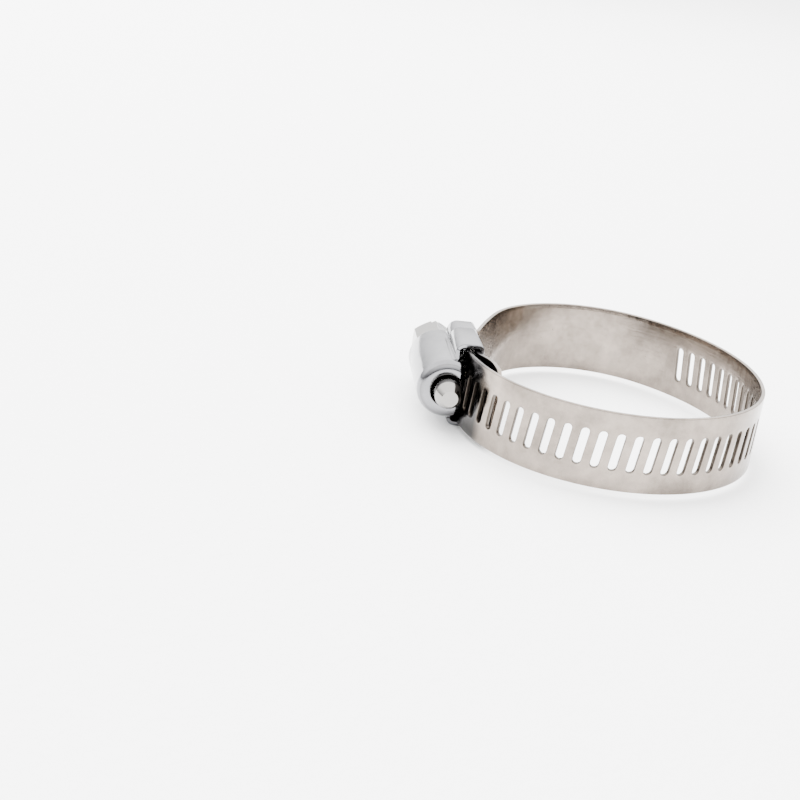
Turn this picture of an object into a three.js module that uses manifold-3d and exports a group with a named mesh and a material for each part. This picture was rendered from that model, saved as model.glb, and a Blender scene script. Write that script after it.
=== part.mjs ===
// A worm-drive hose clamp with a 12.7 mm slotted band, lying on its edge.
// Millimetres, +Z up: the axis of the clamped hose runs along Z and the screw runs along Y.
// Everything is drawn in the loop's own plane frame first: x and y in the middle of the band's width,
// with the housing on the -X side. The finished group is then moved so that the origin is the centre
// of the footprint, on the surface that the clamp lies on.
import * as THREE from "three";
import { mergeVertices } from "three/addons/utils/BufferGeometryUtils.js";
import Module from "manifold-3d";

const wasm = await Module();
wasm.setup();

// ---- driving dimensions (mm, degrees) ----
const BAND_WIDTH = 12.7; // half-inch band
const BAND_THICKNESS = 0.65;
const SLOT_PITCH = 2.75; // also the pitch of the worm thread
const SLOT_LENGTH = 6.1; // tip to tip, across the band
const SLOT_WIDTH = 1.3;
const SLOT_SLANT = 6.6; // degrees, follows the lead of the thread
const JOINT_GAP = 0.3; // between two neighbouring stretches of the band

const PASSAGE_CENTRE = [4.55, -3.2]; // centre of the arc that the free end slides on
const PASSAGE_RADIUS = 30;
const FREE_END_BEHIND = 12.0; // arc length from the arc's leftmost point back to the tip
const FREE_END_AHEAD = 10.755; // and forward to the first bending line
const FREE_END_CORNER = 3.2; // rounding of the tip
const FIRST_SLOT = -7.12; // arc position of the slot nearest the tip
const SLOT_COUNT = 41;
const LINK_LENGTH = 6 * SLOT_PITCH; // bending lines fall midway between two slots
const LINK_COUNT = 9;

// The loop from the first bending line round to the fixed end: [radius, turn in degrees].
const LOOP_ARCS = [
  [24.8, 143.6],
  [32.8, 66.9],
  [19.8, 102.8],
  [91, 7.2],
];
const JOGGLE_RADIUS = 1.6; // the step that brings the fixed end under the free end

const FIXED_X = -23.8; // plane of the fixed end inside the housing
const FIXED_REAR = 2.6;
const FIXED_FRONT = -6.6;
// The tongue, the last stretch of the fixed end, in front of the housing: [radius or 0, turn or length].
const TONGUE_ROUTE = [
  [3, 32],
  [0, 1.3],
  [-7, 26],
  [0, 3.6],
];

const AXIS_X = -28.3; // screw axis
const BARREL_RADIUS = 4.95;
const BARREL_WALL = 0.8;
const BARREL_REAR = 7.4;
const BARREL_FRONT = -9.6;
const BARREL_SHOULDER = 1.5;
const PIN_HOLE_RADIUS = 2.75;

const ROLL_HALF_LENGTH = 6.4; // the two rolls that hold the band's edges
const ROLL_SHEET = 0.7;
const ROLL_OUTER_X = -27.4;
const ROLL_INNER_X = -22.6;
const ROLL_TOP = 7.25;
const ROLL_OUTER_CORNER = 1.65;
const ROLL_INNER_CORNER = 1.0;
const HOOK_END = 5.0;
const ROLL_FOOT = 4.0;
const REAR_NOTCH = [2.4, 6.5]; // where the hooks stop short: from this y, below this height

const THREAD_RADIUS = 3.45;
const THREAD_ROOT = 2.15;
const THREAD_FRONT = -7.0;
const THREAD_REAR = 5.9;
const THREAD_CREST = 0.45; // width of a tooth at its top
const THREAD_FLANK = 0.4; // width of each flank along the axis
const THREAD_STEPS = 16; // sections for each turn of the thread
const PIN_RADIUS = 2.3;
const PIN_CONE = -12.0;
const PIN_END = -13.6;
const PIN_END_RADIUS = 1.4;
const JOURNAL_RADIUS = 3.9;
const FLANGE_RADIUS = 4.3;
const FLANGE = [7.8, 8.6];
const HEX_ACROSS_FLATS = 7;
const HEAD_END = 16.6;
const HEAD_CHAMFER = 1.0;
const DRIVER_SLOT = [1.3, 1.4]; // width and depth

// ---- materials ----
const bandSteel = new THREE.MeshStandardMaterial({ color: 0xb5ada3, roughness: 0.38, metalness: 1 });
const housingSteel = new THREE.MeshStandardMaterial({ color: 0xd2d2d4, roughness: 0.22, metalness: 1 });
const screwSteel = new THREE.MeshStandardMaterial({ color: 0xc6c4c0, roughness: 0.28, metalness: 1 });

// ---- solids ----
function solid(geometry) {
  const bare = geometry.index ? geometry.toNonIndexed() : geometry.clone();
  for (const name of Object.keys(bare.attributes)) {
    if (name !== "position") bare.deleteAttribute(name);
  }
  const merged = mergeVertices(bare, 1e-4);
  return new wasm.Manifold(
    new wasm.Mesh({
      numProp: 3,
      vertProperties: merged.attributes.position.array,
      triVerts: new Uint32Array(merged.index.array),
    }),
  );
}

function mesh(name, body, material) {
  const made = body.getMesh();
  const geometry = new THREE.BufferGeometry();
  geometry.setAttribute("position", new THREE.BufferAttribute(new Float32Array(made.vertProperties), 3));
  geometry.setIndex(new THREE.BufferAttribute(new Uint32Array(made.triVerts), 1));
  const node = new THREE.Mesh(geometry, material);
  node.name = name;
  return node;
}

function box(low, high) {
  const size = high.map((value, i) => value - low[i]);
  const geometry = new THREE.BoxGeometry(...size);
  geometry.translate(...low.map((value, i) => value + size[i] / 2));
  return solid(geometry);
}

// A shape drawn in x and z, extruded along Y from the front face to the rear face.
function alongScrew(shape, front, rear, curveSegments = 8) {
  const geometry = new THREE.ExtrudeGeometry(shape, { depth: rear - front, bevelEnabled: false, curveSegments });
  geometry.rotateX(Math.PI / 2);
  geometry.translate(0, rear, 0);
  return solid(geometry);
}

// A body turned about the screw axis from [radius, y] points.
function turned(profile, segments = 40) {
  const points = profile.map(([radius, y]) => new THREE.Vector2(radius, y));
  const geometry = new THREE.LatheGeometry(points, segments);
  geometry.translate(AXIS_X, 0, 0);
  return solid(geometry);
}

// ---- the band's route ----
const radians = THREE.MathUtils.degToRad;

// Walks along arcs and straights from a start point; a heading of -90 degrees is towards -Y.
function walk(start, heading, route, step) {
  const points = [{ x: start[0], y: start[1], heading }];
  let { x, y } = points[0];
  let angle = heading;
  for (const [radius, amount] of route) {
    const turn = radius === 0 ? 0 : Math.sign(radius) * radians(amount);
    const length = radius === 0 ? amount : Math.abs(radius) * radians(amount);
    const count = Math.max(1, Math.ceil(length / step), Math.ceil(Math.abs(turn) / radians(12)));
    for (let i = 0; i < count; i += 1) {
      const chord = turn === 0 ? length / count : 2 * Math.abs(radius) * Math.sin(Math.abs(turn) / count / 2);
      angle += turn / count / 2;
      x += chord * Math.cos(angle);
      y += chord * Math.sin(angle);
      angle += turn / count / 2;
      points.push({ x, y, heading: angle });
    }
  }
  let along = 0;
  points.forEach((point, i) => {
    if (i > 0) along += Math.hypot(point.x - points[i - 1].x, point.y - points[i - 1].y);
    point.along = along;
  });
  return points;
}

// The free end's own arc, measured from its leftmost point towards the front.
function onPassage(arc) {
  const angle = arc / PASSAGE_RADIUS;
  return {
    x: PASSAGE_CENTRE[0] - PASSAGE_RADIUS * Math.cos(angle),
    y: PASSAGE_CENTRE[1] - PASSAGE_RADIUS * Math.sin(angle),
    heading: -Math.PI / 2 + angle,
    along: arc,
  };
}

function passagePoints(from, to, count) {
  return Array.from({ length: count + 1 }, (_, i) => onPassage(from + ((to - from) * i) / count));
}

// The joggle: out to the fixed end's plane and back to the screw's direction.
function joggleRoute(start) {
  const sine = (FIXED_X - start.x + JOGGLE_RADIUS * (1 - Math.sin(start.heading))) / (-2 * JOGGLE_RADIUS);
  const outward = start.heading - (Math.PI - Math.asin(sine));
  const back = outward + 1.5 * Math.PI - start.heading;
  const degrees = THREE.MathUtils.radToDeg;
  return [
    [-JOGGLE_RADIUS, degrees(outward)],
    [JOGGLE_RADIUS, degrees(back)],
  ];
}

function loopPoints() {
  const first = onPassage(FREE_END_AHEAD);
  const arcs = walk([first.x, first.y], first.heading, LOOP_ARCS, 1.7);
  const end = arcs.at(-1);
  const turned360 = { ...end, heading: end.heading + (end.heading < 0 ? 2 * Math.PI : 0) };
  const joggle = walk([end.x, end.y], end.heading, joggleRoute(turned360), 0.5);
  const last = joggle.at(-1);
  const straight = { ...last, y: FIXED_REAR + JOINT_GAP, along: last.along + last.y - FIXED_REAR - JOINT_GAP };
  const rest = [...joggle.slice(1), straight].map((point) => ({ ...point, along: point.along + end.along }));
  return [...arcs, ...rest].map((point) => ({ ...point, along: point.along + FREE_END_AHEAD }));
}

const loop = loopPoints();

function pointAt(arc) {
  if (arc <= FREE_END_AHEAD) return onPassage(arc);
  const next = Math.max(1, loop.findIndex((point) => point.along >= arc));
  const [a, b] = [loop[next - 1], loop[next]];
  const share = (arc - a.along) / (b.along - a.along);
  return {
    x: a.x + (b.x - a.x) * share,
    y: a.y + (b.y - a.y) * share,
    heading: a.heading + (b.heading - a.heading) * share,
    along: arc,
  };
}

// ---- the band ----
// A strip of the band's section that follows the points.
function strip(points, width = BAND_WIDTH) {
  const side = (sign) =>
    points.map((point) => {
      const offset = (sign * BAND_THICKNESS) / 2;
      return new THREE.Vector2(point.x - offset * Math.sin(point.heading), point.y + offset * Math.cos(point.heading));
    });
  const outline = new THREE.Shape([...side(-1), ...side(1).reverse()]);
  const geometry = new THREE.ExtrudeGeometry(outline, { depth: width, bevelEnabled: false });
  geometry.translate(0, 0, -width / 2);
  return solid(geometry);
}

// A cutter whose outline is drawn with x along the band and y across it, pushed through its thickness.
function cutter(shape, place, lean = 0) {
  const depth = 4 * BAND_THICKNESS;
  const geometry = new THREE.ExtrudeGeometry(shape, { depth, bevelEnabled: false, curveSegments: 5 });
  geometry.translate(0, 0, -depth / 2);
  geometry.rotateZ(-radians(lean));
  geometry.rotateX(Math.PI / 2);
  geometry.rotateZ(place.heading);
  geometry.translate(place.x, place.y, 0);
  return solid(geometry);
}

function slotShape() {
  const radius = SLOT_WIDTH / 2;
  const reach = SLOT_LENGTH / 2 - radius;
  const shape = new THREE.Shape();
  shape.absarc(0, reach, radius, 0, Math.PI, false);
  shape.absarc(0, -reach, radius, Math.PI, 2 * Math.PI, false);
  shape.closePath();
  return shape;
}

// What is left outside a rounded corner of the free end's tip.
function tipCorner(sign) {
  const edge = (sign * BAND_WIDTH) / 2;
  const inner = edge - sign * FREE_END_CORNER;
  const shape = new THREE.Shape();
  shape.moveTo(-1, inner);
  shape.lineTo(0, inner);
  shape.absarc(FREE_END_CORNER, inner, FREE_END_CORNER, Math.PI, sign > 0 ? Math.PI / 2 : 1.5 * Math.PI, sign > 0);
  shape.lineTo(FREE_END_CORNER, edge + sign);
  shape.lineTo(-1, edge + sign);
  shape.closePath();
  return shape;
}

function slotsBetween(from, to) {
  const shape = slotShape();
  return Array.from({ length: SLOT_COUNT }, (_, i) => FIRST_SLOT + i * SLOT_PITCH)
    .filter((arc) => arc > from && arc < to)
    .map((arc) => cutter(shape, pointAt(arc), SLOT_SLANT));
}

function freeEnd() {
  let body = strip(passagePoints(-FREE_END_BEHIND, FREE_END_AHEAD - JOINT_GAP / 2, 12));
  for (const slot of slotsBetween(-FREE_END_BEHIND, FREE_END_AHEAD)) body = body.subtract(slot);
  const tip = onPassage(-FREE_END_BEHIND);
  for (const sign of [-1, 1]) body = body.subtract(cutter(tipCorner(sign), tip));
  return body;
}

function link(index) {
  const from = FREE_END_AHEAD + (index - 1) * LINK_LENGTH;
  const isLast = index === LINK_COUNT;
  const to = isLast ? loop.at(-1).along : from + LINK_LENGTH;
  const start = pointAt(from + JOINT_GAP / 2);
  const end = pointAt(isLast ? to : to - JOINT_GAP / 2);
  const between = loop.filter((point) => point.along > start.along + 0.2 && point.along < end.along - 0.2);
  let body = strip([start, ...between, end]);
  for (const slot of slotsBetween(from, to)) body = body.subtract(slot);
  return body;
}

function fixedEnd() {
  const ends = [FIXED_REAR, FIXED_FRONT + JOINT_GAP / 2];
  return strip(ends.map((y) => ({ x: FIXED_X, y, heading: -Math.PI / 2 })));
}

function tongue() {
  const start = [FIXED_X, FIXED_FRONT - JOINT_GAP / 2];
  return strip(walk(start, -Math.PI / 2, TONGUE_ROUTE, 1.5));
}

// ---- the housing ----
function barrelShell() {
  const inner = BARREL_RADIUS - BARREL_WALL;
  const wallFace = BARREL_FRONT + BARREL_WALL;
  const shoulder = [];
  const centre = [BARREL_RADIUS - BARREL_SHOULDER, BARREL_FRONT + BARREL_SHOULDER];
  for (let i = 0; i <= 6; i += 1) {
    const angle = -Math.PI / 2 + (i / 6) * (Math.PI / 2);
    shoulder.push([centre[0] + BARREL_SHOULDER * Math.cos(angle), centre[1] + BARREL_SHOULDER * Math.sin(angle)]);
  }
  const profile = [
    [PIN_HOLE_RADIUS, wallFace],
    [PIN_HOLE_RADIUS, BARREL_FRONT],
    ...shoulder,
    [BARREL_RADIUS, BARREL_REAR],
    [inner, BARREL_REAR],
    [inner, wallFace + 0.6],
    [inner - 0.6, wallFace],
    [PIN_HOLE_RADIUS, wallFace],
  ];
  return turned(profile);
}

// Half of the section that wraps one edge of the band; sign is +1 for the upper roll.
function rollShape(sign) {
  const sheet = ROLL_SHEET;
  const shape = new THREE.Shape();
  const arc = (x, z, radius, from, to) => {
    const clockwise = (from > to) === sign > 0;
    shape.absarc(x, sign * z, radius, sign * radians(from), sign * radians(to), clockwise);
  };
  shape.moveTo(ROLL_OUTER_X, sign * (ROLL_FOOT + 0.3));
  arc(ROLL_OUTER_X + ROLL_OUTER_CORNER, ROLL_TOP - ROLL_OUTER_CORNER, ROLL_OUTER_CORNER, 180, 90);
  arc(ROLL_INNER_X - ROLL_INNER_CORNER, ROLL_TOP - ROLL_INNER_CORNER, ROLL_INNER_CORNER, 90, 0);
  shape.lineTo(ROLL_INNER_X, sign * HOOK_END);
  shape.lineTo(ROLL_INNER_X - sheet, sign * HOOK_END);
  arc(ROLL_INNER_X - ROLL_INNER_CORNER, ROLL_TOP - ROLL_INNER_CORNER, ROLL_INNER_CORNER - sheet, 0, 90);
  arc(ROLL_OUTER_X + ROLL_OUTER_CORNER, ROLL_TOP - ROLL_OUTER_CORNER, ROLL_OUTER_CORNER - sheet, 90, 180);
  shape.lineTo(ROLL_OUTER_X + sheet, sign * (ROLL_FOOT - 0.1));
  shape.closePath();
  return shape;
}

function housing() {
  const far = 12;
  const openFrom = ROLL_OUTER_X + ROLL_SHEET;
  let body = barrelShell().subtract(box([openFrom, -far, -far], [openFrom + far, far, far]));
  for (const sign of [-1, 1]) body = body.add(alongScrew(rollShape(sign), -ROLL_HALF_LENGTH, ROLL_HALF_LENGTH));
  const [notchY, notchZ] = REAR_NOTCH;
  return body.subtract(box([ROLL_INNER_X - ROLL_SHEET - 0.3, notchY, -notchZ], [openFrom + far, far, notchZ]));
}

// ---- the screw ----
// The section across the axis: one tooth wide in angle, which becomes the thread as it is twisted.
function threadSection() {
  const perMillimetre = (2 * Math.PI) / SLOT_PITCH;
  const crest = (THREAD_CREST / 2) * perMillimetre;
  const flank = THREAD_FLANK * perMillimetre;
  const points = [];
  const addArc = (radiusFrom, radiusTo, from, to, count) => {
    for (let i = 0; i < count; i += 1) {
      const share = i / count;
      const radius = radiusFrom + (radiusTo - radiusFrom) * share;
      const angle = from + (to - from) * share;
      points.push(new THREE.Vector2(radius * Math.cos(angle), radius * Math.sin(angle)));
    }
  };
  addArc(THREAD_RADIUS, THREAD_RADIUS, -crest, crest, 4);
  addArc(THREAD_RADIUS, THREAD_ROOT, crest, crest + flank, 3);
  addArc(THREAD_ROOT, THREAD_ROOT, crest + flank, 2 * Math.PI - crest - flank, 11);
  addArc(THREAD_ROOT, THREAD_RADIUS, -crest - flank, -crest, 3);
  return new THREE.Shape(points);
}

// A right-hand thread whose teeth stand in the band's slots at rest.
function thread() {
  const length = THREAD_REAR - THREAD_FRONT;
  const steps = Math.round((length / SLOT_PITCH) * THREAD_STEPS);
  const options = { depth: length, steps, bevelEnabled: false };
  const geometry = new THREE.ExtrudeGeometry(threadSection(), options);
  geometry.rotateX(Math.PI / 2);
  geometry.translate(0, THREAD_REAR, 0);
  const slotY = onPassage(FIRST_SLOT + 2 * SLOT_PITCH).y;
  const place = geometry.attributes.position;
  for (let i = 0; i < place.count; i += 1) {
    const [x, y, z] = [place.getX(i), place.getY(i), place.getZ(i)];
    const angle = (-2 * Math.PI * (y - slotY)) / SLOT_PITCH;
    const [cosine, sine] = [Math.cos(angle), Math.sin(angle)];
    place.setXYZ(i, x * cosine - z * sine, y, x * sine + z * cosine);
  }
  geometry.translate(AXIS_X, 0, 0);
  const fade = THREAD_RADIUS - THREAD_ROOT;
  const envelope = turned([
    [0, THREAD_FRONT],
    [THREAD_ROOT, THREAD_FRONT],
    [THREAD_RADIUS + 0.2, THREAD_FRONT + fade + 0.2],
    [THREAD_RADIUS + 0.2, THREAD_REAR - fade - 0.2],
    [THREAD_ROOT, THREAD_REAR],
    [0, THREAD_REAR],
  ]);
  return solid(geometry).intersect(envelope);
}

function hexHead() {
  const corner = HEX_ACROSS_FLATS / Math.sqrt(3);
  const geometry = new THREE.CylinderGeometry(corner, corner, HEAD_END - FLANGE[1] + 0.1, 6);
  geometry.translate(AXIS_X, (HEAD_END + FLANGE[1] - 0.1) / 2, 0);
  const dome = turned([
    [0, FLANGE[0]],
    [corner + 0.1, FLANGE[0]],
    [corner + 0.1, HEAD_END - HEAD_CHAMFER],
    [corner - HEAD_CHAMFER, HEAD_END],
    [0, HEAD_END],
  ]);
  return solid(geometry).intersect(dome);
}

function screw() {
  const core = turned([
    [0, PIN_END],
    [PIN_END_RADIUS, PIN_END],
    [PIN_RADIUS, PIN_CONE],
    [PIN_RADIUS, THREAD_FRONT - 0.2],
    [THREAD_ROOT, THREAD_FRONT],
    [THREAD_ROOT - 0.3, THREAD_FRONT + 0.2],
    [THREAD_ROOT - 0.3, THREAD_REAR - 0.2],
    [THREAD_ROOT, THREAD_REAR],
    [JOURNAL_RADIUS, THREAD_REAR + 0.8],
    [JOURNAL_RADIUS, FLANGE[0]],
    [FLANGE_RADIUS, FLANGE[0]],
    [FLANGE_RADIUS, FLANGE[1] - 0.3],
    [FLANGE_RADIUS - 0.3, FLANGE[1]],
    [0, FLANGE[1]],
  ]);
  const [width, depth] = DRIVER_SLOT;
  const notch = box([AXIS_X - width / 2, HEAD_END - depth, -6], [AXIS_X + width / 2, HEAD_END + 1, 6]);
  return core.add(thread()).add(hexHead()).subtract(notch);
}

// ---- the assembly ----
const clamp = new THREE.Group();
clamp.add(mesh("housing", housing(), housingSteel));
clamp.add(mesh("worm_screw", screw(), screwSteel));
clamp.add(mesh("band_fixed_end", fixedEnd(), bandSteel));
clamp.add(mesh("band_tongue", tongue(), bandSteel));
clamp.add(mesh("band_free_end", freeEnd(), bandSteel));
for (let index = 1; index <= LINK_COUNT; index += 1) {
  clamp.add(mesh(`band_link_0${index}`, link(index), bandSteel));
}

// The footprint's centre, on the surface under the clamp, becomes the origin.
const extent = new THREE.Box3().setFromObject(clamp);
const middle = extent.getCenter(new THREE.Vector3());
clamp.position.set(-middle.x, -middle.y, -extent.min.z);

export default clamp;
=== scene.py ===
"""A worm-drive hose clamp: band, housing and screw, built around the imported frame."""

import math

import bmesh
import bpy
from mathutils import Matrix, Vector


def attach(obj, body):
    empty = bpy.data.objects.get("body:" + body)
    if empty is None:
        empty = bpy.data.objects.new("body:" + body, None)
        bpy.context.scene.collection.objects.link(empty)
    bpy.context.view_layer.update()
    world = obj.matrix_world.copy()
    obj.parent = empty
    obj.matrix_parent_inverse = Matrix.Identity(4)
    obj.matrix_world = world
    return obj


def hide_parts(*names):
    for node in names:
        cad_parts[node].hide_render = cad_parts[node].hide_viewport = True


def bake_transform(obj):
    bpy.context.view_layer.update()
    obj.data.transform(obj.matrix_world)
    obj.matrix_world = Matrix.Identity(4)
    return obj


bl_info = {
    "name": "Worm-drive hose clamp",
    "version": (1, 0, 0),
    "blender": (4, 5, 0),
    "location": "3D View > Sidebar > Hose clamp",
    "description": "Builds a worm-drive hose clamp with a slotted band around its frame",
    "category": "Mesh",
}

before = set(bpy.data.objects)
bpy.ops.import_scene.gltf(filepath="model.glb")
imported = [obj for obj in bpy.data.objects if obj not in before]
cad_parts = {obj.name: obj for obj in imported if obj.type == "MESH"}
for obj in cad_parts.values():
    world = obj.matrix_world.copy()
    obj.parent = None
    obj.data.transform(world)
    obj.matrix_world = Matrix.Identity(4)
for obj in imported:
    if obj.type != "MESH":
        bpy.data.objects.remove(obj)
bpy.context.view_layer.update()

MM = 0.001
# Every size below is in millimetres in the loop's own plane frame. ORIGIN brings it into the row frame.
ORIGIN = Vector((4.074311, 1.376824, 7.25))

# ---- the band's route, in the same arcs as the frame ----
TIP_ARC = -12.0  # arc position of the free end's tip; 0 is the leftmost point of the passage
PASSAGE_CENTRE = (4.55, -3.2)
PASSAGE_RADIUS = 30.0
FIRST_BEND = 10.755
STRETCH = 16.5
FIRST_SLOT = -7.12
FIXED_X = -23.8
FIXED_REAR = 2.9
TONGUE_FOLD = -6.6
# radius and turn in degrees; radius 0 is a straight of that length
LOOP = ((24.8, 143.6), (32.8, 66.9), (19.8, 102.8), (91, 7.2))
JOGGLE_RADIUS = 1.6
TONGUE = ((0, 9.65), (3, 32), (0, 1.3), (-7, 26), (0, 3.6))

# ---- the screw's places along its axis ----
AXIS_X = -28.3
PIN_END = -13.6
PIN_CONE = -12.0
THREAD_FRONT = -7.0
THREAD_REAR = 5.9
JOURNAL = 3.9  # radius
FLANGE_FRONT = 7.8
FLANGE_REAR = 8.6
TURNS_AHEAD = 2.45  # from the thread's start to the third slot
THREAD_PHASE = 0.45  # of a turn, so that the thread meets that slot

# ---- the housing's places across the screw ----
ROLL_OUTER_X = -27.4
ROLL_INNER_X = -22.6
ROLL_NOTCH = 2.4  # the hook ends here, and only the roll's outer part goes on
BARREL_OPEN_X = -26.5


def lay(x, y, heading, start, steps):
    """The stretches of a route: where each starts, its heading, curvature and length."""
    route = []
    for radius, amount in steps:
        bend = 0.0 if radius == 0 else 1.0 / radius
        length = amount if radius == 0 else abs(radius) * math.radians(amount)
        route.append((start, x, y, heading, bend, length))
        x, y, heading = further(route[-1], length)
        start += length
    return route


def further(stretch, distance):
    """The point and heading at a distance along one stretch."""
    _, x, y, heading, bend, _ = stretch
    if bend == 0:
        return x + distance * math.cos(heading), y + distance * math.sin(heading), heading
    turned = heading + bend * distance
    x += (math.sin(turned) - math.sin(heading)) / bend
    y -= (math.cos(turned) - math.cos(heading)) / bend
    return x, y, turned


def along(route, position):
    """The point and heading at an arc position of the route."""
    stretch = route[0]
    for candidate in route:
        if position >= candidate[0]:
            stretch = candidate
    return further(stretch, position - stretch[0])


def loop_route():
    """From the free end's tip, round the loop, to the fixed end's plane."""
    angle = TIP_ARC / PASSAGE_RADIUS
    x = PASSAGE_CENTRE[0] - PASSAGE_RADIUS * math.cos(angle)
    y = PASSAGE_CENTRE[1] - PASSAGE_RADIUS * math.sin(angle)
    passage = math.degrees((FIRST_BEND - TIP_ARC) / PASSAGE_RADIUS)
    steps = [(PASSAGE_RADIUS, passage), *LOOP]
    route = lay(x, y, angle - math.pi / 2, TIP_ARC, steps)
    end_x, _, heading = further(route[-1], route[-1][5])
    sine = (FIXED_X - end_x + JOGGLE_RADIUS * (1 - math.sin(heading))) / (-2 * JOGGLE_RADIUS)
    outward = heading - (math.pi - math.asin(sine))
    back = outward + 1.5 * math.pi - heading
    steps += [(-JOGGLE_RADIUS, math.degrees(outward)), (JOGGLE_RADIUS, math.degrees(back))]
    route = lay(x, y, angle - math.pi / 2, TIP_ARC, steps)
    _, end_y, _ = further(route[-1], route[-1][5])
    return lay(x, y, angle - math.pi / 2, TIP_ARC, [*steps, (0, end_y - FIXED_REAR)])


def row_point(x, y, z):
    """A point of the loop's plane frame, in the row frame in metres."""
    return (Vector((x, y, z)) + ORIGIN) * MM


# ---- settings ----
class ClampBandSettings(bpy.types.PropertyGroup):
    """Sizes and colour of the band"""

    width: bpy.props.FloatProperty(name="Width", description="Width of the strip, mm", default=12.7)
    thickness: bpy.props.FloatProperty(
        name="Thickness", description="Thickness of the strip, mm", default=0.65
    )
    pitch: bpy.props.FloatProperty(
        name="Slot pitch", description="Distance between two slots, mm", default=2.75
    )
    slot_length: bpy.props.FloatProperty(name="Slot length", description="Slot, tip to tip, mm", default=6.1)
    slot_width: bpy.props.FloatProperty(name="Slot width", description="Slot, side to side, mm", default=1.3)
    slot_count: bpy.props.IntProperty(name="Slots", description="Number of slots from the tip", default=41)
    slant: bpy.props.FloatProperty(
        name="Slot slant", description="Lean of the slots", default=math.radians(6.6), subtype="ANGLE"
    )
    rim: bpy.props.FloatProperty(name="Rim", description="Rounding of the slots' rims, mm", default=0.07)
    edge: bpy.props.FloatProperty(name="Edge", description="Rounding of the strip's edges, mm", default=0.14)
    colour: bpy.props.FloatVectorProperty(
        name="Colour",
        description="Rolled stainless steel",
        default=(0.25, 0.212, 0.18),
        subtype="COLOR",
        size=3,
    )


class ClampHousingSettings(bpy.types.PropertyGroup):
    """Sizes and colour of the housing"""

    barrel_radius: bpy.props.FloatProperty(name="Barrel radius", description="Outside, mm", default=4.95)
    barrel_wall: bpy.props.FloatProperty(
        name="Barrel wall", description="Sheet at the barrel, mm", default=0.8
    )
    barrel_front: bpy.props.FloatProperty(
        name="Barrel front", description="End wall's outer face, mm", default=-9.6
    )
    barrel_rear: bpy.props.FloatProperty(name="Barrel rear", description="Rear rim, mm", default=7.4)
    shoulder: bpy.props.FloatProperty(
        name="Shoulder", description="Rounding of the end wall, mm", default=1.5
    )
    pin_hole: bpy.props.FloatProperty(name="Pin hole", description="Radius around the pin, mm", default=2.75)
    roll_top: bpy.props.FloatProperty(
        name="Roll height", description="Crest from the middle, mm", default=7.25
    )
    roll_half: bpy.props.FloatProperty(
        name="Roll half length", description="Along the screw, mm", default=6.4
    )
    sheet: bpy.props.FloatProperty(name="Sheet", description="Sheet of the rolls, mm", default=0.7)
    colour: bpy.props.FloatVectorProperty(
        name="Colour", description="Bright pressed steel", default=(0.2, 0.2, 0.208), subtype="COLOR", size=3
    )


class ClampScrewSettings(bpy.types.PropertyGroup):
    """Sizes and colour of the screw"""

    crest: bpy.props.FloatProperty(name="Thread radius", description="At the crest, mm", default=3.45)
    root: bpy.props.FloatProperty(name="Root radius", description="At the root, mm", default=2.15)
    pin: bpy.props.FloatProperty(name="Pin radius", description="Pin through the end wall, mm", default=2.3)
    tip: bpy.props.FloatProperty(name="Tip radius", description="Flat end of the pin, mm", default=1.4)
    flange: bpy.props.FloatProperty(name="Flange radius", description="Behind the barrel, mm", default=4.3)
    across_flats: bpy.props.FloatProperty(name="Across flats", description="Hexagonal head, mm", default=7.0)
    head_end: bpy.props.FloatProperty(name="Head end", description="End face of the head, mm", default=16.6)
    colour: bpy.props.FloatVectorProperty(
        name="Colour", description="Machined steel", default=(0.24, 0.232, 0.22), subtype="COLOR", size=3
    )


class ClampStageSettings(bpy.types.PropertyGroup):
    """Floor, light and camera"""

    floor: bpy.props.FloatVectorProperty(
        name="Floor", description="Pale floor", default=(0.9, 0.9, 0.9), subtype="COLOR", size=3
    )
    sky: bpy.props.FloatProperty(name="Sky", description="Strength of the surrounding light", default=6.0)
    lens: bpy.props.FloatProperty(name="Lens", description="Focal length, mm", default=62.9)


def settings():
    return bpy.context.scene.hose_clamp


class ClampSettings(bpy.types.PropertyGroup):
    """All settings of the hose clamp"""

    band: bpy.props.PointerProperty(name="Band", description="Band", type=ClampBandSettings)
    housing: bpy.props.PointerProperty(name="Housing", description="Housing", type=ClampHousingSettings)
    screw: bpy.props.PointerProperty(name="Screw", description="Screw", type=ClampScrewSettings)
    stage: bpy.props.PointerProperty(name="Stage", description="Stage", type=ClampStageSettings)


# ---- finishes ----
FINISHES = {}


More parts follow.
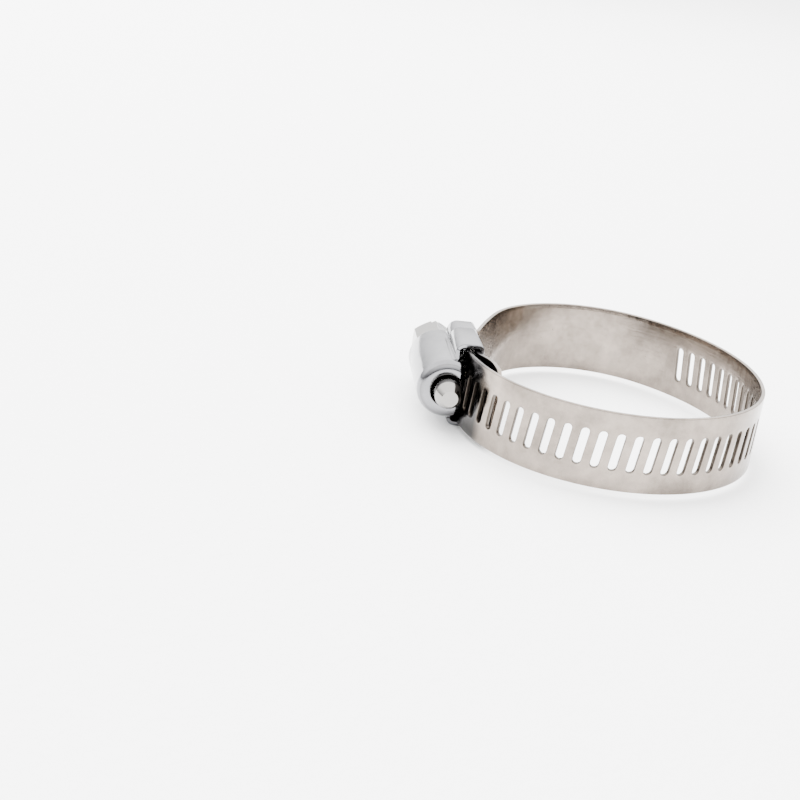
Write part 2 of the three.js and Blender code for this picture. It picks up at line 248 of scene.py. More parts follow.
def metal(name, colour, rough, grain, grain_scale, mottle):
    """Steel with a fine grain, soft blotches and a few scratches."""
    material = bpy.data.materials.new(name)
    material.use_nodes = True
    tree = material.node_tree
    nodes, links = tree.nodes, tree.links
    shader = nodes["Principled BSDF"]
    shader.inputs["Metallic"].default_value = 1.0
    place = nodes.new("ShaderNodeTexCoord")

    def noise(scale, detail, stretch=(1, 1, 1), roughness=0.5):
        mapping = nodes.new("ShaderNodeMapping")
        mapping.inputs["Scale"].default_value = stretch
        links.new(place.outputs["Object"], mapping.inputs["Vector"])
        texture = nodes.new("ShaderNodeTexNoise")
        texture.inputs["Scale"].default_value = scale
        texture.inputs["Detail"].default_value = detail
        texture.inputs["Roughness"].default_value = roughness
        links.new(mapping.outputs["Vector"], texture.inputs["Vector"])
        return texture.outputs["Fac"]

    def spread(source, low, high, start=0.3, stop=0.7):
        span = nodes.new("ShaderNodeMapRange")
        span.inputs["From Min"].default_value = start
        span.inputs["From Max"].default_value = stop
        span.inputs["To Min"].default_value = low
        span.inputs["To Max"].default_value = high
        links.new(source, span.inputs["Value"])
        return span.outputs["Result"]

    blotch = noise(130, 8, roughness=0.68)
    fine = noise(900, 2)
    ramp = nodes.new("ShaderNodeValToRGB")
    ramp.color_ramp.elements[0].position = 0.32
    ramp.color_ramp.elements[0].color = (*(c * (1 - mottle) for c in colour), 1)
    ramp.color_ramp.elements[1].position = 0.68
    ramp.color_ramp.elements[1].color = (*(min(1, c * (1 + 0.5 * mottle)) for c in colour), 1)
    links.new(blotch, ramp.inputs["Fac"])
    links.new(ramp.outputs["Color"], shader.inputs["Base Color"])
    both = nodes.new("ShaderNodeMath")
    both.operation = "ADD"
    links.new(spread(blotch, rough * 0.8, rough * 1.1), both.inputs[0])
    links.new(spread(fine, -0.05, 0.07), both.inputs[1])
    links.new(both.outputs["Value"], shader.inputs["Roughness"])
    lines = noise(grain_scale, 4, grain)
    scratches = spread(noise(260, 6, (1, 1, 9)), 0, 1, 0.62, 0.66)
    relief = nodes.new("ShaderNodeMath")
    relief.operation = "MULTIPLY_ADD"
    relief.inputs[1].default_value = -0.5
    links.new(scratches, relief.inputs[0])
    links.new(lines, relief.inputs[2])
    bump = nodes.new("ShaderNodeBump")
    bump.inputs["Strength"].default_value = 0.22
    bump.inputs["Distance"].default_value = 0.00003
    links.new(relief.outputs["Value"], bump.inputs["Height"])
    links.new(bump.outputs["Normal"], shader.inputs["Normal"])
    return material


def painted_shade_tube(material, centre, reach, far=1.1):
    """Paints shade into the steel's colour: near black inside an oval tube along Y, standing in for the
    shaded inside of the housing and its mouth, and back to the steel's own colour at far times the tube's
    size; reach is its half size.
    """
    nodes, links = material.node_tree.nodes, material.node_tree.links
    shader = nodes["Principled BSDF"]
    colour = nodes["Color Ramp"].outputs["Color"]
    place = nodes.new("ShaderNodeTexCoord")
    offset = nodes.new("ShaderNodeVectorMath")
    offset.operation = "SUBTRACT"
    offset.inputs[1].default_value = row_point(*centre)
    links.new(place.outputs["Object"], offset.inputs[0])
    scaled = nodes.new("ShaderNodeVectorMath")
    scaled.operation = "DIVIDE"
    scaled.inputs[1].default_value = [half * MM for half in reach]
    links.new(offset.outputs["Vector"], scaled.inputs[0])
    flat = nodes.new("ShaderNodeVectorMath")
    flat.operation = "MULTIPLY"
    flat.inputs[1].default_value = (1, 0, 1)
    links.new(scaled.outputs["Vector"], flat.inputs[0])
    round_way = nodes.new("ShaderNodeVectorMath")
    round_way.operation = "LENGTH"
    links.new(flat.outputs["Vector"], round_way.inputs[0])
    parts = nodes.new("ShaderNodeSeparateXYZ")
    links.new(scaled.outputs["Vector"], parts.inputs["Vector"])
    long_way = nodes.new("ShaderNodeMath")
    long_way.operation = "ABSOLUTE"
    links.new(parts.outputs["Y"], long_way.inputs[0])
    away = nodes.new("ShaderNodeMath")
    away.operation = "MAXIMUM"
    links.new(round_way.outputs["Value"], away.inputs[0])
    links.new(long_way.outputs["Value"], away.inputs[1])
    span = nodes.new("ShaderNodeMapRange")
    span.inputs["From Min"].default_value = 1.0
    span.inputs["From Max"].default_value = far
    links.new(away.outputs["Value"], span.inputs["Value"])
    mix = nodes.new("ShaderNodeMix")
    mix.data_type = "RGBA"
    # painted shade: the near-black colour used inside the tube
    mix.inputs[6].default_value = (0.035, 0.032, 0.03, 1)
    links.new(span.outputs["Result"], mix.inputs[0])
    links.new(colour, mix.inputs[7])
    links.new(mix.outputs[2], shader.inputs["Base Color"])
    return material


def kept(finish):
    """The material that a finish makes, made only once."""
    if finish.__name__ not in FINISHES:
        FINISHES[finish.__name__] = finish()
    return FINISHES[finish.__name__]


def band_steel():
    plain = metal("rolled_band", settings().band.colour, 0.2, (1, 1, 26), 150, 0.45)
    # painted shade: the band goes near black where it runs into the housing and lies at its mouth
    return painted_shade_tube(plain, (-26, -6.5, 0), (4.2, 7, 8), 1.3)


def sheared_steel():
    colour = [0.4 * channel for channel in settings().band.colour]
    return metal("sheared_edge", colour, 0.35, (1, 1, 8), 900, 0.3)


def housing_steel():
    plain = metal("pressed_housing", settings().housing.colour, 0.14, (4, 1, 4), 240, 0.22)
    # painted shade: the housing goes near black inside the barrel, within 4.2 mm of the screw's axis, and
    # keeps its own colour further out
    return painted_shade_tube(plain, (AXIS_X, -0.675, 0), (4.2, 8.15, 4.2), 1.09)


def screw_steel():
    plain = metal("machined_screw", settings().screw.colour, 0.17, (1, 8, 1), 500, 0.1)
    # painted shade: the screw goes near black along the length that lies inside the barrel
    return painted_shade_tube(plain, (AXIS_X, -0.5, 0), (1000, 8.3, 1000), 1.08)


# ---- mesh helpers ----
def sharpen(bm, angle=35):
    """Smooth faces, with the edges over the angle kept crisp."""
    for face in bm.faces:
        face.smooth = True
    for edge in bm.edges:
        edge.smooth = len(edge.link_faces) == 2 and edge.calc_face_angle(0) < math.radians(angle)


def finish_piece(bm, name, materials):
    """Makes the object of a bmesh whose points are in millimetres in the loop's plane frame."""
    bmesh.ops.remove_doubles(bm, verts=bm.verts, dist=1e-4)
    bmesh.ops.recalc_face_normals(bm, faces=bm.faces)
    sharpen(bm)
    bmesh.ops.translate(bm, vec=ORIGIN, verts=bm.verts)
    bmesh.ops.scale(bm, vec=(MM, MM, MM), verts=bm.verts)
    data = bpy.data.meshes.new(name)
    bm.to_mesh(data)
    bm.free()
    for material in materials:
        data.materials.append(material)
    piece = bpy.data.objects.new(name, data)
    bpy.context.scene.collection.objects.link(piece)
    return piece


def sharp_edges(bm, test=lambda edge: True, angle=50):
    return [
        edge
        for edge in bm.edges
        if len(edge.link_faces) == 2 and edge.calc_face_angle(0) > math.radians(angle) and test(edge)
    ]


def round_off(bm, edges, offset, segments=2):
    bmesh.ops.bevel(
        bm,
        geom=edges,
        offset=offset,
        segments=segments,
        profile=0.5,
        affect="EDGES",
        material=-1,
        clamp_overlap=True,
    )


def spun(bm, profile, steps, centre=(AXIS_X, 0, 0)):
    """Turns a closed or axis-ended line of (radius, y) points about the screw's axis."""
    verts = [bm.verts.new((centre[0] + radius, y, centre[2])) for radius, y in profile]
    edges = [bm.edges.new(pair) for pair in zip(verts, verts[1:])]
    if profile[0][0] > 0:
        edges.append(bm.edges.new((verts[-1], verts[0])))
    bmesh.ops.spin(
        bm, geom=[*verts, *edges], cent=centre, axis=(0, 1, 0), angle=2 * math.pi, steps=steps, use_merge=True
    )
    bmesh.ops.remove_doubles(bm, verts=bm.verts, dist=1e-4)
    bmesh.ops.recalc_face_normals(bm, faces=bm.faces)


def arc(centre, radius, start, stop, count):
    """Points of an arc, angles in degrees."""
    angles = [math.radians(start + (stop - start) * i / count) for i in range(count + 1)]
    return [(centre[0] + radius * math.cos(a), centre[1] + radius * math.sin(a)) for a in angles]


# ---- the band ----
def columns(start, stop, fine=0.46):
    """Positions of the cross lines of a strip, and the centres of the slots between them."""
    band = settings().band
    half = band.slot_width / 2
    lines, slots = [], []
    position = start
    while position < stop - 1e-6:
        index = round((position + band.pitch / 2 - FIRST_SLOT) / band.pitch)
        centre = FIRST_SLOT + index * band.pitch
        whole = abs(centre - band.pitch / 2 - position) < 1e-3 and position + band.pitch < stop + 1e-3
        if whole and 0 <= index < band.slot_count:
            reach = (-band.pitch / 2, -half - 0.36, -half, -half / 2, 0, half / 2, half, half + 0.36)
            lines += [centre + step for step in reach]
            slots.append(centre)
            position += band.pitch
        else:
            limit = min(stop, FIRST_SLOT - band.pitch / 2) if position < FIRST_SLOT - band.pitch / 2 else stop
            if 0 <= index < band.slot_count - 1 and not whole:
                limit = min(limit, centre + band.pitch / 2)
            count = max(1, math.ceil((min(limit, position + band.pitch) - position) / fine))
            end = min(limit, position + band.pitch)
            lines += [position + (end - position) * i / count for i in range(count)]
            position = end
    return [*lines, stop], slots


def rows():
    """Positions of the long lines of a strip, across its width."""
    band = settings().band
    tip = band.slot_length / 2
    reach = tip - band.slot_width / 2
    along_slot = [0.0, reach / 3, 2 * reach / 3, reach, (reach + tip) / 2, tip]
    beyond_slot = [tip + 0.45, 4.4, 5.4, band.width / 2]
    upper = along_slot + beyond_slot
    return [-z for z in reversed(upper[1:])] + upper


def strip(name, route, start, stop, tip=None, tip_corner=3.2, slotted=True, fine=0.46):
    """A length of the band. tip is the end, if any, that has rounded corners: start or stop."""
    band = settings().band
    half_width, half_slot = band.width / 2, band.slot_width / 2
    reach = band.slot_length / 2 - half_slot
    lines, slots = columns(start, stop, fine) if slotted else (None, [])
    if lines is None:
        count = max(2, math.ceil((stop - start) / fine))
        lines = [start + (stop - start) * i / count for i in range(count + 1)]
    if tip is not None:
        sign = 1 if tip == start else -1
        close = [tip + sign * tip_corner * share for share in (0.02, 0.06, 0.13, 0.22, 0.35, 0.5, 0.7, 1)]
        lines = sorted({*close, *(line for line in lines if abs(line - tip) > tip_corner or line == tip)})
    across = rows()
    bm = bmesh.new()
    bmesh.ops.create_grid(bm, x_segments=len(lines) - 1, y_segments=len(across) - 1, size=1)
    for vert in bm.verts:
        column = round((vert.co.x + 1) / 2 * (len(lines) - 1))
        row = round((vert.co.y + 1) / 2 * (len(across) - 1))
        vert.co = (lines[column], across[row], 0)
    cut = []
    for face in bm.faces:
        middle = face.calc_center_median()
        if abs(middle.y) < reach + half_slot and any(abs(middle.x - slot) < half_slot for slot in slots):
            cut.append(face)
    bmesh.ops.delete(bm, geom=cut, context="FACES")
    for vert in bm.verts:
        beyond = abs(vert.co.y) - reach
        for slot in slots:
            beside = vert.co.x - slot
            on_rim = abs(max(abs(beside), beyond) - half_slot) < 1e-4
            if beyond > 1e-4 and abs(beside) < half_slot + 1e-4 and on_rim:
                rounded = Vector((beside, beyond)).normalized() * half_slot
                vert.co.x = slot + rounded.x
                vert.co.y = math.copysign(reach + rounded.y, vert.co.y)
    grown = bmesh.ops.extrude_face_region(bm, geom=bm.faces[:])["geom"]
    top = [item for item in grown if isinstance(item, bmesh.types.BMVert)]
    bmesh.ops.translate(bm, vec=(0, 0, band.thickness), verts=top)
    bmesh.ops.translate(bm, vec=(0, 0, -band.thickness / 2), verts=bm.verts)
    bmesh.ops.recalc_face_normals(bm, faces=bm.faces)

    def at_seam(edge):
        xs = [v.co.x for v in edge.verts]
        return any(
            abs(x - end) < 1e-4 for end in (start, stop) if end != tip for x in xs
        ) and abs(xs[0] - xs[1]) < 1e-4

    def is_long(edge):
        return all(abs(abs(v.co.y) - half_width) < 1e-4 for v in edge.verts)

    def at_tip(edge):
        return tip is not None and all(abs(v.co.x - tip) < 1e-4 for v in edge.verts)

    round_off(bm, sharp_edges(bm, lambda e: not at_seam(e) and not is_long(e) and not at_tip(e)), band.rim, 2)
    outer = sharp_edges(bm, lambda e: not at_seam(e) and (is_long(e) or at_tip(e)))
    round_off(bm, outer, band.edge, 3)
    for face in bm.faces:
        middle = face.calc_center_median()
        in_wall = abs(middle.z) < band.thickness / 2 - 0.01 and abs(middle.y) < reach + half_slot + 0.05
        face.material_index = int(in_wall and start + 0.05 < middle.x < stop - 0.05)
    lean = math.tan(band.slant)
    straight = band.slot_length / 2 + 0.25
    for vert in bm.verts:
        s, z, t = vert.co
        if tip is not None:
            inside = min(tip_corner, abs(s - tip))
            widest = half_width - tip_corner + math.sqrt(max(0, tip_corner**2 - (tip_corner - inside) ** 2))
            z *= widest / half_width
        if slotted:
            share = min(1.0, (half_width - abs(z)) / (half_width - straight))
            shift = math.copysign(min(abs(z), straight), z) * lean * max(0.0, share)
            s += shift * min(1.0, max(0.0, (s - TIP_ARC - 0.6) / 2.2))
        x, y, heading = along(route, s)
        vert.co = (x - t * math.sin(heading), y + t * math.cos(heading), z)
    return finish_piece(bm, name, [kept(band_steel), kept(sheared_steel)])


class ClampFreeEnd(bpy.types.Operator):
    """Builds the band's free end, which slides through the housing"""

    bl_idname = "mesh.clamp_free_end"
    bl_label = "Free end"

    def execute(self, context):
        route = loop_route()
        piece = strip("free_end", route, TIP_ARC, FIRST_BEND - STRETCH / 2, tip=TIP_ARC)
        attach(piece, "feed")
        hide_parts("band_free_end")
        return {"FINISHED"}


class ClampLoop(bpy.types.Operator):
    """Builds the loop of the band in nine lengths in place of the frame's band links, and the back length,
    which rides the last link
    """

    bl_idname = "mesh.clamp_loop"
    bl_label = "Loop"

    def execute(self, context):
        route = loop_route()
        bodies = ["feed"] + [f"link_0{i}" for i in range(1, 10)]
        for index in range(9):
            middle = FIRST_BEND + index * STRETCH
            start, stop = middle - STRETCH / 2, middle + STRETCH / 2
            piece = strip(f"loop_{index + 1}", route, start, stop)
            ends = [row_point(*along(route, s)[:2], 0) for s in (start, stop)]
            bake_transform(piece)
            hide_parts(f"band_link_0{index + 1}")
        last = route[-1]
        piece = strip("loop_back", route, middle + STRETCH / 2, last[0] + last[5], slotted=False, fine=0.12)
        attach(piece, bodies[-1])
        return {"FINISHED"}


class ClampFixedEnd(bpy.types.Operator):
    """Builds the band's fixed end in the housing and the springy tongue in front of it"""

    bl_idname = "mesh.clamp_fixed_end"
    bl_label = "Fixed end and tongue"

    def execute(self, context):
        route = lay(FIXED_X, FIXED_REAR, -math.pi / 2, 0.0, TONGUE)
        end = route[-1][0] + route[-1][5]
        piece = strip("fixed_end", route, 0.0, end, tip=end, tip_corner=1.6, slotted=False, fine=0.25)
        fold = FIXED_REAR - TONGUE_FOLD
        ends = [row_point(*along(route, s)[:2], 0) for s in (fold - 1.2, fold + 1.2)]
        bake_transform(piece)
        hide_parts("band_fixed_end", "band_tongue")
        return {"FINISHED"}


# ---- the housing ----
def barrel(bm):
    housing = settings().housing
    radius, wall, front = housing.barrel_radius, housing.barrel_wall, housing.barrel_front
    inner = radius - wall
    bend = housing.shoulder
    hole = housing.pin_hole
    lip = 0.18
    profile = arc((hole + lip, front + lip), lip, 180, 270, 4)
    profile += arc((radius - bend, front + bend), bend, -90, 0, 14)
    profile += [(radius, front + 6), (radius, 0), (radius, housing.barrel_rear - lip)]
    profile += arc((radius - lip, housing.barrel_rear - lip), lip, 0, 90, 4)[1:]
    profile += arc((inner + lip, housing.barrel_rear - lip), lip, 90, 180, 4)
    profile += arc((inner - 0.8, front + wall + 0.8), 0.8, 0, -90, 8)
    profile += [(hole, front + wall)]
    spun(bm, profile, 96)
    cut = bmesh.ops.bisect_plane(
        bm,
        geom=[*bm.verts, *bm.edges, *bm.faces],
        plane_co=(BARREL_OPEN_X, 0, 0),
        plane_no=(1, 0, 0),
        clear_outer=True,
    )
    rim = [e for e in cut["geom_cut"] if isinstance(e, bmesh.types.BMEdge)]
    bmesh.ops.triangle_fill(bm, use_beauty=True, use_dissolve=False, edges=rim)
    bmesh.ops.recalc_face_normals(bm, faces=bm.faces)


def roll(bm, sign, rear, front, with_hook):
    """One of the two rolls over the band's edges, from its hook to the barrel's side."""
    housing = settings().housing
    top, sheet = housing.roll_top, housing.sheet
    outer_x, inner_x = ROLL_OUTER_X, ROLL_INNER_X
    big, small, fillet = 1.65, 1.0, 0.5
    line = [((inner_x, 5.0), 0)] if with_hook else []
    start = 0 if with_hook else 35
    line += [((x, z), 0) for x, z in arc((inner_x - small, top - small), small, start, 90, 10)]
    line += [((x, z), 0) for x, z in arc((outer_x + big, top - big), big, 90, 180, 16)]
    centre_z = math.sqrt((housing.barrel_radius + fillet) ** 2 - (outer_x - fillet - AXIS_X) ** 2)
    toward = math.degrees(math.atan2(-centre_z, AXIS_X - outer_x + fillet))
    line += [((x, z), 1) for x, z in arc((outer_x - fillet, centre_z), fillet, 0, toward, 8)]
    sunk = math.degrees(math.atan2(centre_z, outer_x - fillet - AXIS_X))
    for step in (4, 8, 12):
        depth = housing.barrel_radius - 0.012 * step
        line.append((arc((AXIS_X, 0), depth, sunk + step, sunk, 1)[0], 1))
    points = [Vector((p[0], p[1])) for p, _ in line]
    verts = [bm.verts.new((p.x, rear, sign * p.y)) for p in points]
    edges = [bm.edges.new(pair) for pair in zip(verts, verts[1:])]
    normals = []
    for i in range(len(points)):
        before, after = points[max(0, i - 1)], points[min(len(points) - 1, i + 1)]
        way = (after - before).normalized()
        normals.append(Vector((way.y, -way.x)))
    made = bmesh.ops.extrude_edge_only(bm, edges=edges)["geom"]
    inner = {}
    for vert in (v for v in made if isinstance(v, bmesh.types.BMVert)):
        place = Vector((vert.co.x, sign * vert.co.z))
        inner[vert] = min(range(len(points)), key=lambda i: (points[i] - place).length)
    for vert, i in inner.items():
        depth = sheet if line[i][1] == 0 else sheet - 0.1
        vert.co.x -= normals[i].x * depth
        vert.co.z -= sign * normals[i].y * depth
    faces = [f for f in made if isinstance(f, bmesh.types.BMFace)]
    grown = bmesh.ops.extrude_face_region(bm, geom=faces)["geom"]
    ahead = [v for v in grown if isinstance(v, bmesh.types.BMVert)]
    bmesh.ops.translate(bm, vec=(0, front - rear, 0), verts=ahead)
    if with_hook:
        for vert in ahead:
            share = min(1, max(0, (6.1 - abs(vert.co.z)) / 1.1)) if vert.co.x < -26 else 0
            vert.co.y -= 1.6 * share * share * (3 - 2 * share)
    bmesh.ops.recalc_face_normals(bm, faces=bm.faces)


class ClampHousing(bpy.types.Operator):
    """Builds the stamped housing: the barrel around the screw and the rolls over the band's edges"""

    bl_idname = "mesh.clamp_housing"
    bl_label = "Housing"

    def execute(self, context):
        housing = settings().housing
        bm = bmesh.new()
        barrel(bm)

        def at_opening(edge):
            return all(abs(v.co.x - BARREL_OPEN_X) < 1e-3 for v in edge.verts)

        round_off(bm, sharp_edges(bm, at_opening), 0.08, 2)
        half = housing.roll_half
        for sign in (-1, 1):
            for rear, front, hook in ((ROLL_NOTCH, -half, True), (half, ROLL_NOTCH, False)):
                side = bmesh.new()
                roll(side, sign, rear, front, hook)
                round_off(side, sharp_edges(side), 0.12, 3)
                data = bpy.data.meshes.new("side")
                side.to_mesh(data)
                side.free()
                bm.from_mesh(data)
                bpy.data.meshes.remove(data)
        piece = finish_piece(bm, "housing_shell", [housing_steel()])
        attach(piece, "root")
        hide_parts("housing")
        return {"FINISHED"}


# ---- the screw ----
def worm(bm):
    """The thread: one tooth's section, wound round the axis."""
    screw, band = settings().screw, settings().band
    per_turn, turns = 64, 4.25
    half_crest, flank = 0.225, 0.4
    third_slot = (FIRST_SLOT + 2 * band.pitch) / PASSAGE_RADIUS
    mesh_y = PASSAGE_CENTRE[1] - PASSAGE_RADIUS * math.sin(third_slot)
    start = mesh_y - TURNS_AHEAD * band.pitch
    section = [
        (screw.root - 0.3, -half_crest - flank),
        (screw.root, -half_crest - flank),
        (screw.crest - 0.06, -half_crest - 0.03),
        (screw.crest, -half_crest + 0.05),
        (screw.crest, half_crest - 0.05),
        (screw.crest - 0.06, half_crest + 0.03),
        (screw.root, half_crest + flank),
        (screw.root - 0.3, half_crest + flank),
    ]
    verts = [bm.verts.new((AXIS_X + radius, start + y, 0)) for radius, y in section]
    face = bm.faces.new(verts)
    phase = Matrix.Rotation(-THREAD_PHASE * 2 * math.pi, 3, (0, 1, 0))
    bmesh.ops.rotate(bm, cent=(AXIS_X, 0, 0), matrix=phase, verts=verts)
    bmesh.ops.spin(
        bm,
        geom=[face, *face.edges, *face.verts],
        cent=(AXIS_X, 0, 0),
        axis=(0, 1, 0),
        dvec=(0, band.pitch / per_turn, 0),
        angle=2 * math.pi * turns,
        steps=int(per_turn * turns),
    )
    low = min(v.co.y for v in bm.verts)
    high = max(v.co.y for v in bm.verts)
    for vert in bm.verts:
        across = Vector((vert.co.x - AXIS_X, vert.co.z))
        limit = screw.root - 0.35 + 1.2 * max(0.0, min(vert.co.y - low, high - vert.co.y))
        if across.length > limit:
            across *= limit / across.length
            vert.co.x, vert.co.z = AXIS_X + across.x, across.y
    bmesh.ops.recalc_face_normals(bm, faces=bm.faces)


def hex_head():
    """The hexagonal head with a turned chamfer and a driver slot, as a mesh."""
    screw = settings().screw
    corner = screw.across_flats / math.sqrt(3)
    end = screw.head_end
    objects = []

    def solid(build):
        bm = bmesh.new()
        build(bm)
        bmesh.ops.recalc_face_normals(bm, faces=bm.faces)
        data = bpy.data.meshes.new("blank")
        bm.to_mesh(data)
        bm.free()
        made = bpy.data.objects.new("blank", data)
        bpy.context.scene.collection.objects.link(made)
        objects.append(made)
        return made

    def prism(bm):
        bmesh.ops.create_cone(bm, cap_ends=True, segments=6, radius1=corner, radius2=corner, depth=end - 8.3)
        bmesh.ops.rotate(bm, matrix=Matrix.Rotation(math.pi / 2, 3, "X"), verts=bm.verts)
        bmesh.ops.translate(bm, vec=(AXIS_X, (end + 8.3) / 2, 0), verts=bm.verts)

    def dome(bm):
        turn = [(0, 8.0), (corner + 0.2, 8.0), (corner + 0.2, end - 1.25), (corner - 0.35, end - 0.62)]
        spun(bm, [*turn, (corner - 1.0, end - 0.12), (corner - 1.5, end), (0, end)], 72)

    def groove(bm):
        bmesh.ops.create_cube(bm, size=1)
        bmesh.ops.scale(bm, vec=(1.3, 2.8, 12), verts=bm.verts)
        bmesh.ops.translate(bm, vec=(AXIS_X, end, 0), verts=bm.verts)

    body = solid(prism)
    for other, operation in ((solid(dome), "INTERSECT"), (solid(groove), "DIFFERENCE")):
        modifier = body.modifiers.new("cut", "BOOLEAN")
        modifier.operation = operation
        modifier.solver = "EXACT"
        modifier.object = other
    graph = bpy.context.evaluated_depsgraph_get()
    data = bpy.data.meshes.new_from_object(body.evaluated_get(graph))
    for made in objects:
        bpy.data.objects.remove(made)
    return data


class ClampScrew(bpy.types.Operator):
    """Builds the worm screw: pin, thread, flange and slotted hexagonal head"""

    bl_idname = "mesh.clamp_screw"
    bl_label = "Worm screw"

    def execute(self, context):
        screw = settings().screw
        bm = bmesh.new()
        flange = arc((screw.flange - 0.25, FLANGE_FRONT + 0.25), 0.25, -90, 0, 4)
        flange += arc((screw.flange - 0.3, FLANGE_REAR - 0.3), 0.3, 0, 90, 5)
        spun(
            bm,
            [
                (0, PIN_END),
                (screw.tip - 0.08, PIN_END),
                (screw.tip, PIN_END + 0.06),
                (screw.pin - 0.06, PIN_CONE - 0.06),
                (screw.pin, PIN_CONE + 0.1),
                (screw.pin, THREAD_FRONT - 0.2),
                (screw.root, THREAD_FRONT),
                (screw.root, THREAD_REAR),
                (JOURNAL, THREAD_REAR + 0.8),
                (JOURNAL, FLANGE_FRONT),
                *flange,
                (2.0, FLANGE_REAR),
                (0, FLANGE_REAR),
            ],
            72,
        )
        thread = bmesh.new()
        worm(thread)
        data = bpy.data.meshes.new("thread")
        thread.to_mesh(data)
        thread.free()
        bm.from_mesh(data)
        bpy.data.meshes.remove(data)
        head = hex_head()
        shape = bmesh.new()
        shape.from_mesh(head)
        bmesh.ops.dissolve_limit(shape, angle_limit=math.radians(0.5), verts=shape.verts, edges=shape.edges)
        round_off(shape, sharp_edges(shape, angle=40), 0.09, 2)
        shape.to_mesh(head)
        shape.free()
        bm.from_mesh(head)
        bpy.data.meshes.remove(head)
        piece = finish_piece(bm, "screw", [screw_steel()])
        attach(piece, "screw")
        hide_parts("worm_screw")
        return {"FINISHED"}


# ---- the stage ----
def floor_finish():
    material = bpy.data.materials.new("pale_floor")
    material.use_nodes = True
    nodes, links = material.node_tree.nodes, material.node_tree.links
    shader = nodes["Principled BSDF"]
    shader.inputs["Base Color"].default_value = (*settings().stage.floor, 1)
    shader.inputs["Roughness"].default_value = 0.85
    place = nodes.new("ShaderNodeTexCoord")
    grain = nodes.new("ShaderNodeTexNoise")
    grain.inputs["Scale"].default_value = 520
    links.new(place.outputs["Object"], grain.inputs["Vector"])
    bump = nodes.new("ShaderNodeBump")
    bump.inputs["Strength"].default_value = 0.3
    bump.inputs["Distance"].default_value = 0.0005
    links.new(grain.outputs["Fac"], bump.inputs["Height"])
    links.new(bump.outputs["Normal"], shader.inputs["Normal"])
    return material


def surrounding():
    """Light from all round: bright above and behind, dim towards the front and below."""
    world = bpy.data.worlds.new("studio")
    bpy.context.scene.world = world
    world.use_nodes = True
    nodes, links = world.node_tree.nodes, world.node_tree.links
    background = nodes["Background"]
    background.inputs["Strength"].default_value = settings().stage.sky
    place = nodes.new("ShaderNodeTexCoord")
    turn = nodes.new("ShaderNodeMapping")
    turn.inputs["Rotation"].default_value = (math.radians(8), 0, 0)
    links.new(place.outputs["Generated"], turn.inputs["Vector"])
    parts = nodes.new("ShaderNodeSeparateXYZ")
    links.new(turn.outputs["Vector"], parts.inputs["Vector"])
    span = nodes.new("ShaderNodeMapRange")
    span.inputs["From Min"].default_value = -1
    links.new(parts.outputs["Z"], span.inputs["Value"])
    ramp = nodes.new("ShaderNodeValToRGB")
    ramp.color_ramp.elements[0].position = 0.3
    ramp.color_ramp.elements[0].color = (0.03, 0.03, 0.032, 1)
    ramp.color_ramp.elements[1].position = 0.8
    ramp.color_ramp.elements[1].color = (1, 1, 1, 1)
    middle = ramp.color_ramp.elements.new(0.52)
    middle.color = (0.14, 0.14, 0.144, 1)
    links.new(span.outputs["Result"], ramp.inputs["Fac"])
    links.new(ramp.outputs["Color"], background.inputs["Color"])


def lamp(name, where, size, power):
    data = bpy.data.lights.new(name, "AREA")
    data.shape = "RECTANGLE"
    data.size, data.size_y = size
    data.energy = power
    made = bpy.data.objects.new(name, data)
    bpy.context.scene.collection.objects.link(made)
    made.location = where
    made.visible_glossy = False
    made.rotation_euler = (Vector((0, 0, 0.007)) - Vector(where)).to_track_quat("-Z", "Y").to_euler()


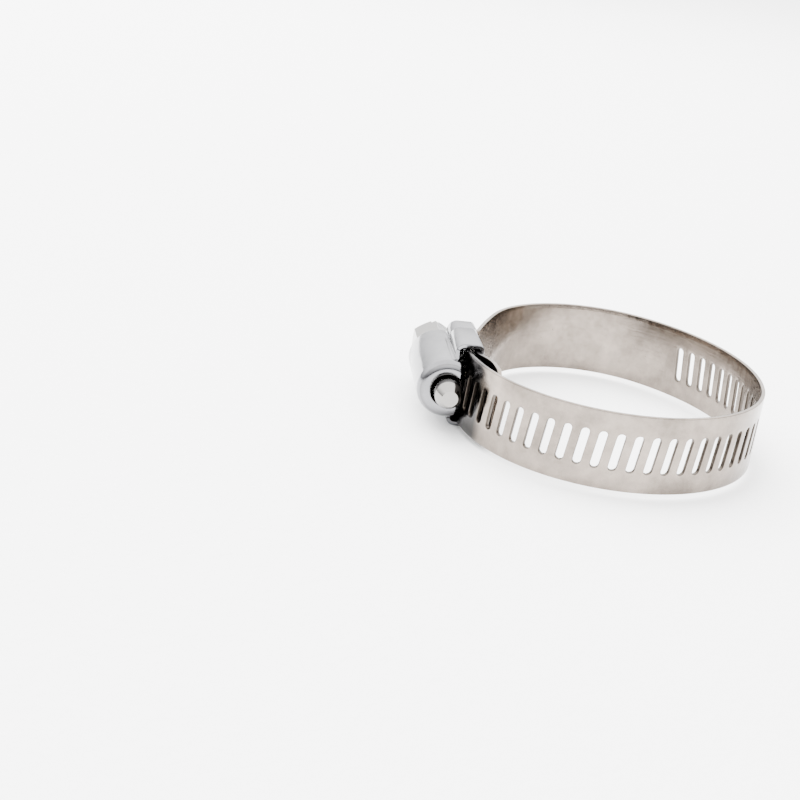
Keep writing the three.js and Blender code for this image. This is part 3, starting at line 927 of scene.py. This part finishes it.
class ClampStage(bpy.types.Operator):
    """Sets up the pale floor, the soft light and the camera"""

    bl_idname = "object.clamp_stage"
    bl_label = "Stage"

    def execute(self, context):
        bm = bmesh.new()
        bmesh.ops.create_grid(bm, x_segments=2, y_segments=2, size=3)
        data = bpy.data.meshes.new("floor")
        bm.to_mesh(data)
        bm.free()
        data.materials.append(floor_finish())
        floor = bpy.data.objects.new("floor", data)
        bpy.context.scene.collection.objects.link(floor)
        surrounding()
        lamp("high", (-0.35, 0.45, 0.9), (1.3, 1.3), 60.0)
        view = bpy.data.cameras.new("view")
        view.lens = settings().stage.lens
        view.sensor_width = 36
        view.clip_start = 0.01
        camera = bpy.data.objects.new("view", view)
        bpy.context.scene.collection.objects.link(camera)
        forward = Vector((0.1187, 0.9297, -0.3486)).normalized()
        level = forward.cross(Vector((0, 0, 1))).normalized()
        upright = level.cross(forward)
        lean = math.radians(8.04)
        right = level * math.cos(lean) + upright * math.sin(lean)
        up = upright * math.cos(lean) - level * math.sin(lean)
        camera.matrix_world = Matrix.Translation(row_point(-62.95, -222.2, 77.3)) @ Matrix(
            (right, up, -forward)
        ).transposed().to_4x4()
        bpy.context.scene.camera = camera
        return {"FINISHED"}


class VIEW3D_PT_hose_clamp(bpy.types.Panel):
    """Lists the clamp's pieces"""

    bl_label = "Hose clamp"
    bl_idname = "VIEW3D_PT_hose_clamp"
    bl_space_type = "VIEW_3D"
    bl_region_type = "UI"
    bl_category = "Hose clamp"

    def draw(self, context):
        for operator in OPERATORS:
            self.layout.operator(operator.bl_idname)
        for group in (settings().band, settings().housing, settings().screw, settings().stage):
            box = self.layout.box()
            for name in group.__annotations__:
                box.prop(group, name)


OPERATORS = (ClampFreeEnd, ClampLoop, ClampFixedEnd, ClampHousing, ClampScrew, ClampStage)
GROUPS = (ClampBandSettings, ClampHousingSettings, ClampScrewSettings, ClampStageSettings, ClampSettings)
CLASSES = (*GROUPS, *OPERATORS, VIEW3D_PT_hose_clamp)


def register():
    for cls in CLASSES:
        bpy.utils.register_class(cls)
    bpy.types.Scene.hose_clamp = bpy.props.PointerProperty(
        name="Hose clamp", description="Hose clamp", type=ClampSettings
    )


def unregister():
    del bpy.types.Scene.hose_clamp
    for cls in reversed(CLASSES):
        bpy.utils.unregister_class(cls)


def main():
    register()
    bpy.ops.mesh.clamp_free_end()
    bpy.ops.mesh.clamp_loop()
    bpy.ops.mesh.clamp_fixed_end()
    bpy.ops.mesh.clamp_housing()
    bpy.ops.mesh.clamp_screw()
    bpy.ops.object.clamp_stage()


if __name__ == "__main__":
    main()
